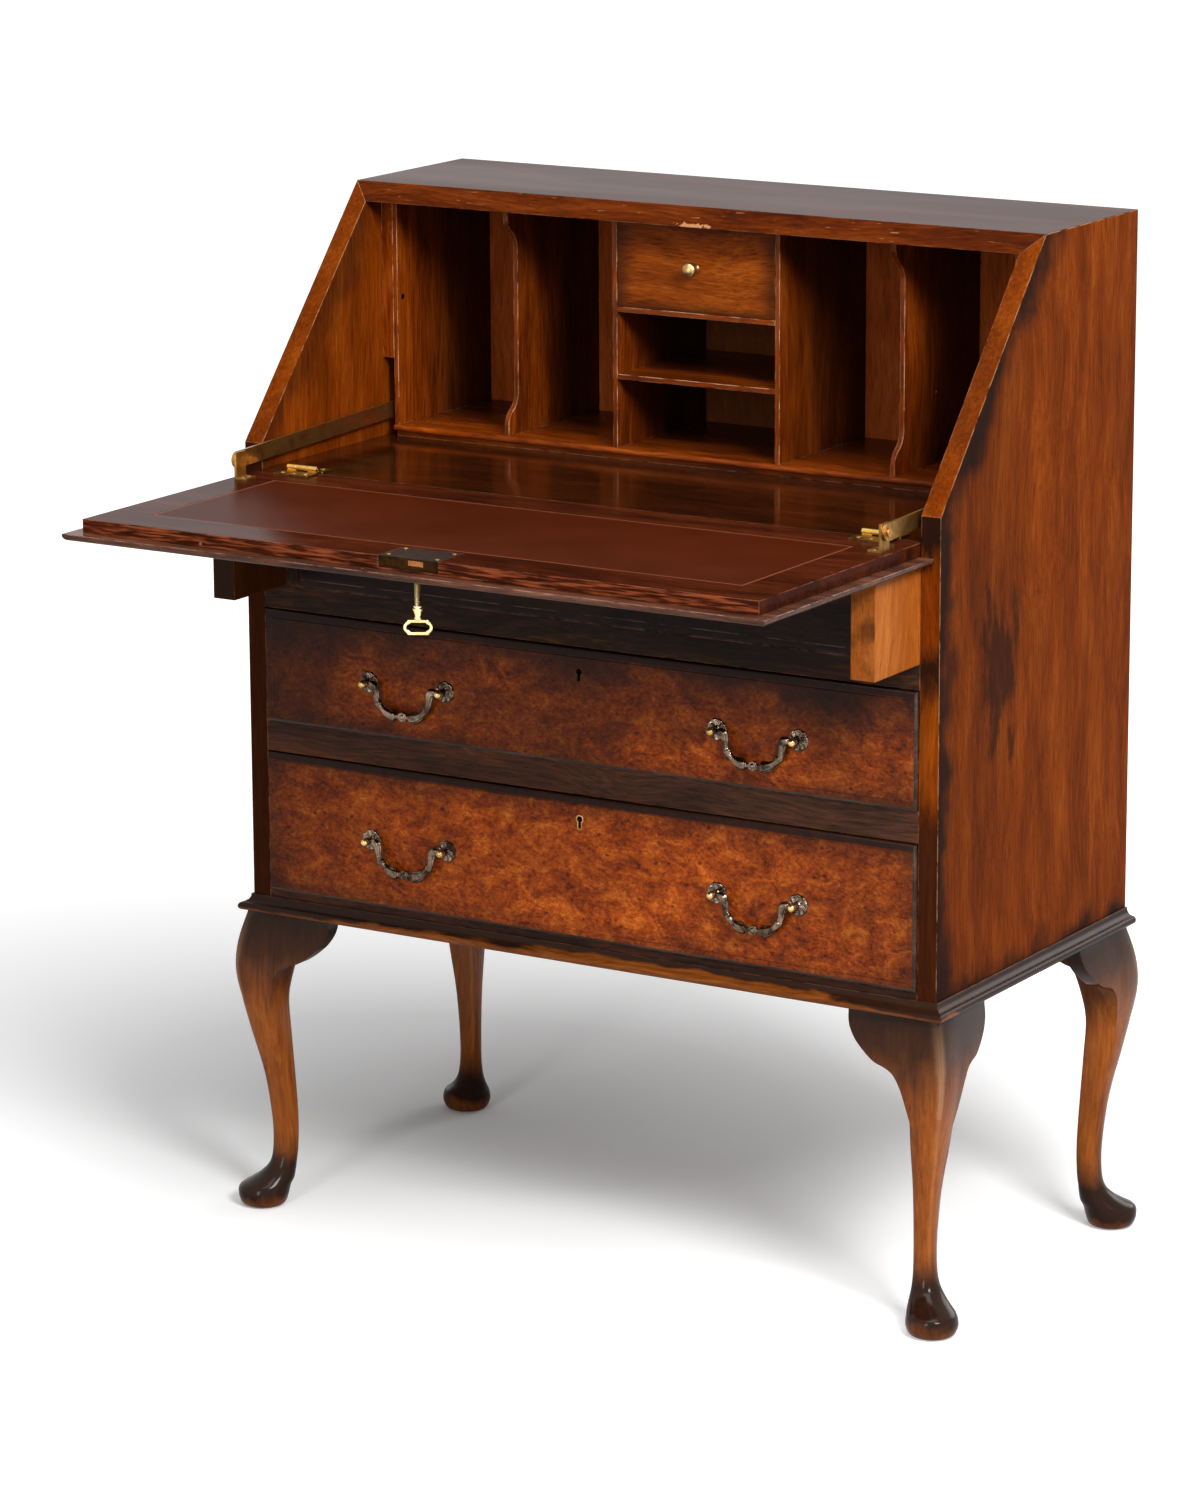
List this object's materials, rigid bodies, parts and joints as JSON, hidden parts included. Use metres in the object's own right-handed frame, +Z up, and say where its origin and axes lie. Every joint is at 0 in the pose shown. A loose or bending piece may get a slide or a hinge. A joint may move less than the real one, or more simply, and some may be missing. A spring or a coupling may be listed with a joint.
{
  "type": "fall-front writing bureau",
  "caption": "Fall-front writing bureau on cabriole legs with lopers, pigeonholes, a leather-lined fall and long drawers with drop handles.",
  "frame": {"origin": "on the floor under the middle of the bureau with its fall open", "axes": "+X to the right of a person facing the front, +Y to the back, +Z up"},
  "size_m": [0.8075, 0.7046, 1.005],
  "materials": {
    "walnut": "french polished",
    "dark_walnut": "darkened polish",
    "burr_walnut": "polished veneer",
    "lining_wood": "plain wood",
    "brass": "polished",
    "aged_brass": "aged and dark",
    "leather": "worn"
  },
  "bodies": {
    "carcass": {"side_left": "walnut", "side_right": "walnut", "top_board": "walnut", "back_panel": "lining_wood", "bottom_rail": "dark_walnut", "bottom_board": "lining_wood", "middle_rail": "dark_walnut", "upper_rail": "dark_walnut", "drawer_runners": "lining_wood", "loper_runners": "lining_wood", "loper_partitions": "lining_wood", "frieze_panel": "dark_walnut", "writing_board": "walnut", "base_moulding": "walnut", "leg_front_left": "walnut", "leg_front_right": "walnut", "leg_back_left": "walnut", "leg_back_right": "walnut", "knee_blocks": "walnut", "pigeonhole_floor": "walnut", "pigeonhole_ends": "walnut", "centre_dividers": "walnut", "pigeonhole_shelves": "walnut", "wavy_dividers": "walnut", "stay_cover_strips": "walnut", "hinge_board_leaves": "brass"},
    "fall": {"fall_board": "walnut", "fall_leather": "leather", "fall_lip_mouldings": "walnut", "fall_lock": "brass", "hinge_fall_leaves": "brass", "stay_lugs": "brass"},
    "fall_bolt": {"fall_lock_bolt": "brass"},
    "key": {"fall_key": "brass"},
    "stay_left": {"stay_bar_left": "brass"},
    "stay_right": {"stay_bar_right": "brass"},
    "loper_left": {"loper_left": "walnut"},
    "loper_right": {"loper_right": "walnut"},
    "small_drawer": {"small_drawer_front": "walnut", "small_drawer_box": "lining_wood", "small_drawer_bottom": "lining_wood", "small_drawer_knob": "brass"},
    "lower_drawer": {"lower_drawer_front": "burr_walnut", "lower_drawer_box": "lining_wood", "lower_drawer_bottom": "lining_wood", "lower_drawer_lock": "brass", "lower_drawer_handle_fittings": "aged_brass"},
    "lower_drawer_bolt": {"lower_drawer_lock_bolt": "brass"},
    "lower_drawer_left_bail": {"lower_drawer_left_bail": "aged_brass"},
    "lower_drawer_right_bail": {"lower_drawer_right_bail": "aged_brass"},
    "upper_drawer": {"upper_drawer_front": "burr_walnut", "upper_drawer_box": "lining_wood", "upper_drawer_bottom": "lining_wood", "upper_drawer_lock": "brass", "upper_drawer_handle_fittings": "aged_brass"},
    "upper_drawer_bolt": {"upper_drawer_lock_bolt": "brass"},
    "upper_drawer_left_bail": {"upper_drawer_left_bail": "aged_brass"},
    "upper_drawer_right_bail": {"upper_drawer_right_bail": "aged_brass"}
  },
  "joints": [
    {"name": "fall_hinge", "type": "hinge", "parent": "carcass", "child": "fall", "pos_m": [0, -0.04439, 0.7533], "axis": [-1, 0, 0], "range_deg": [0, 130.9]},
    {"name": "key_turn", "type": "hinge", "parent": "fall", "child": "key", "pos_m": [0.004, -0.32915, 0.7], "axis": [0, 0, 1], "range_deg": [0, 180]},
    {"name": "fall_bolt_slide", "type": "slide", "parent": "fall", "child": "fall_bolt", "axis": [0, -1, 0], "range_m": [0, 0.01]},
    {"name": "stay_left_pivot", "type": "hinge", "parent": "fall", "child": "stay_left", "pos_m": [-0.354, -0.0995, 0.7673], "axis": [-1, 0, 0], "range_deg": [-131, 0]},
    {"name": "loper_left_slide", "type": "slide", "parent": "carcass", "child": "loper_left", "axis": [0, -1, 0], "range_m": [-0.085, 0.12]},
    {"name": "stay_right_pivot", "type": "hinge", "parent": "fall", "child": "stay_right", "pos_m": [0.354, -0.0995, 0.7673], "axis": [-1, 0, 0], "range_deg": [-131, 0]},
    {"name": "loper_right_slide", "type": "slide", "parent": "carcass", "child": "loper_right", "axis": [0, -1, 0], "range_m": [-0.085, 0.12]},
    {"name": "small_drawer_slide", "type": "slide", "parent": "carcass", "child": "small_drawer", "axis": [0, 1, 0], "range_m": [-0.12, 0]},
    {"name": "lower_drawer_slide", "type": "slide", "parent": "carcass", "child": "lower_drawer", "axis": [0, -1, 0], "range_m": [0, 0.25]},
    {"name": "lower_drawer_bolt_slide", "type": "slide", "parent": "lower_drawer", "child": "lower_drawer_bolt", "axis": [0, 0, 1], "range_m": [0, 0.008]},
    {"name": "lower_drawer_left_bail_swing", "type": "hinge", "parent": "lower_drawer", "child": "lower_drawer_left_bail", "pos_m": [-0.194, -0.06037, 0.39585], "axis": [-1, 0, 0], "range_deg": [-8, 80]},
    {"name": "lower_drawer_right_bail_swing", "type": "hinge", "parent": "lower_drawer", "child": "lower_drawer_right_bail", "pos_m": [0.194, -0.06037, 0.39585], "axis": [-1, 0, 0], "range_deg": [-8, 80]},
    {"name": "upper_drawer_slide", "type": "slide", "parent": "carcass", "child": "upper_drawer", "axis": [0, -1, 0], "range_m": [0, 0.25]},
    {"name": "upper_drawer_bolt_slide", "type": "slide", "parent": "upper_drawer", "child": "upper_drawer_bolt", "axis": [0, 0, 1], "range_m": [0, 0.008]},
    {"name": "upper_drawer_left_bail_swing", "type": "hinge", "parent": "upper_drawer", "child": "upper_drawer_left_bail", "pos_m": [-0.194, -0.06037, 0.55285], "axis": [-1, 0, 0], "range_deg": [-8, 80]},
    {"name": "upper_drawer_right_bail_swing", "type": "hinge", "parent": "upper_drawer", "child": "upper_drawer_right_bail", "pos_m": [0.194, -0.06037, 0.55285], "axis": [-1, 0, 0], "range_deg": [-8, 80]}
  ],
  "couplings": [
    {"joint": "fall_bolt_slide", "follows": "key_turn", "m_per_rad": 0.003183},
    {"joint": "stay_left_pivot", "follows": "fall_hinge", "ratio": -1},
    {"joint": "stay_right_pivot", "follows": "fall_hinge", "ratio": -1}
  ]
}
